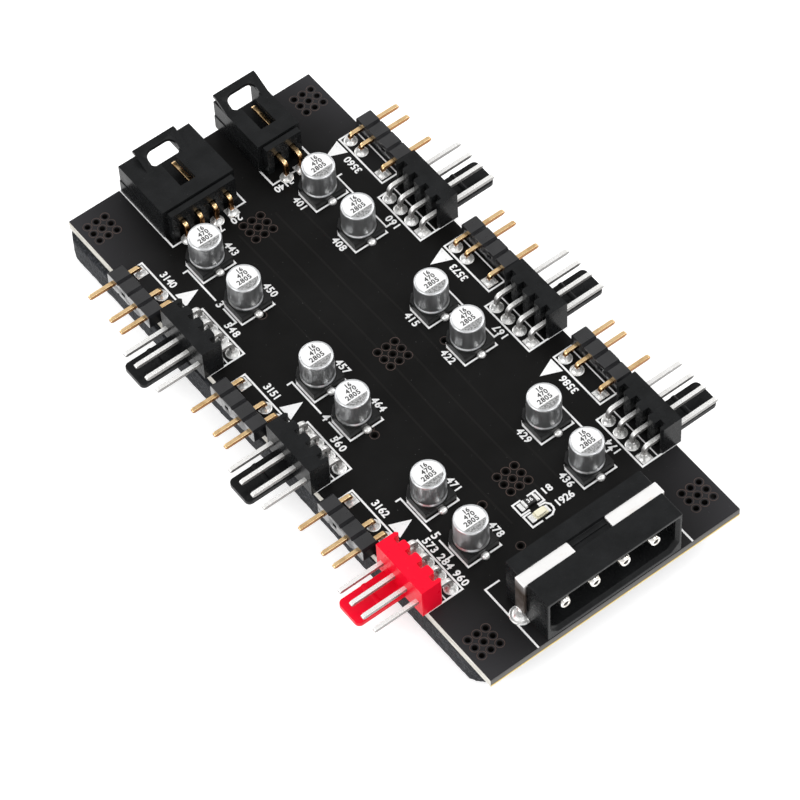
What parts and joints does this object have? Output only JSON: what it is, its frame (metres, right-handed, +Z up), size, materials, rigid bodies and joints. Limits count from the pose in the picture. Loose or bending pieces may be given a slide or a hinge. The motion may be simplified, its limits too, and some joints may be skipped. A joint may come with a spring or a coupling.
{
  "type": "fan and light controller hub",
  "caption": "Narrow black circuit board on a foam pad with right-angle fan and light pin headers on both edges, capacitors, a keyed power socket and latched input sockets",
  "frame": {"origin": "middle of the board's outline, on the underside of the foam pad that the hub stands on", "axes": "+Y along the board from the power socket to the input sockets, +Z up from the board's face, +X to the right with the power socket in front"},
  "size_m": [0.0598, 0.0978, 0.015],
  "materials": {
    "board": "black solder mask, smooth",
    "foam": "fine open-cell foam, matt",
    "header_plastic": "moulded black nylon, slightly glossy",
    "red_plastic": "moulded red nylon, slightly glossy",
    "gold_pins": "thin gold plating over square wire",
    "tinned_pins": "tin plating, bright",
    "can_aluminium": "drawn aluminium, satin",
    "chip_body": "coated ceramic chip",
    "led_body": "cast resin, pale",
    "solder": "reflowed solder, bright"
  },
  "bodies": {
    "root": {"circuit_board": "board", "foam_pad": "foam", "light_header_1": "header_plastic", "light_header_2": "header_plastic", "light_header_3": "header_plastic", "light_header_4": "header_plastic", "light_header_5": "header_plastic", "light_header_6": "header_plastic", "light_pins_1": "gold_pins", "light_pins_2": "gold_pins", "light_pins_3": "gold_pins", "light_pins_4": "gold_pins", "light_pins_5": "gold_pins", "light_pins_6": "gold_pins", "fan_header_1": "header_plastic", "fan_header_2": "header_plastic", "fan_header_3": "red_plastic", "fan_header_4": "header_plastic", "fan_header_5": "header_plastic", "fan_header_6": "header_plastic", "fan_pins_1": "tinned_pins", "fan_pins_2": "tinned_pins", "fan_pins_3": "tinned_pins", "fan_pins_4": "tinned_pins", "fan_pins_5": "tinned_pins", "fan_pins_6": "tinned_pins", "capacitor_can_1": "can_aluminium", "capacitor_can_2": "can_aluminium", "capacitor_can_3": "can_aluminium", "capacitor_can_4": "can_aluminium", "capacitor_can_5": "can_aluminium", "capacitor_can_6": "can_aluminium", "capacitor_can_7": "can_aluminium", "capacitor_can_8": "can_aluminium", "capacitor_can_9": "can_aluminium", "capacitor_can_10": "can_aluminium", "capacitor_can_11": "can_aluminium", "capacitor_can_12": "can_aluminium", "capacitor_base_1": "header_plastic", "capacitor_base_2": "header_plastic", "capacitor_base_3": "header_plastic", "capacitor_base_4": "header_plastic", "capacitor_base_5": "header_plastic", "capacitor_base_6": "header_plastic", "capacitor_base_7": "header_plastic", "capacitor_base_8": "header_plastic", "capacitor_base_9": "header_plastic", "capacitor_base_10": "header_plastic", "capacitor_base_11": "header_plastic", "capacitor_base_12": "header_plastic", "capacitor_leads": "tinned_pins", "power_socket_housing": "header_plastic", "power_pins": "tinned_pins", "power_brackets": "tinned_pins", "input_socket_4_pin": "header_plastic", "input_socket_2_pin": "header_plastic", "input_pins": "gold_pins", "resistor": "chip_body", "indicator_led": "led_body", "solder_joints": "solder"}
  },
  "joints": []
}
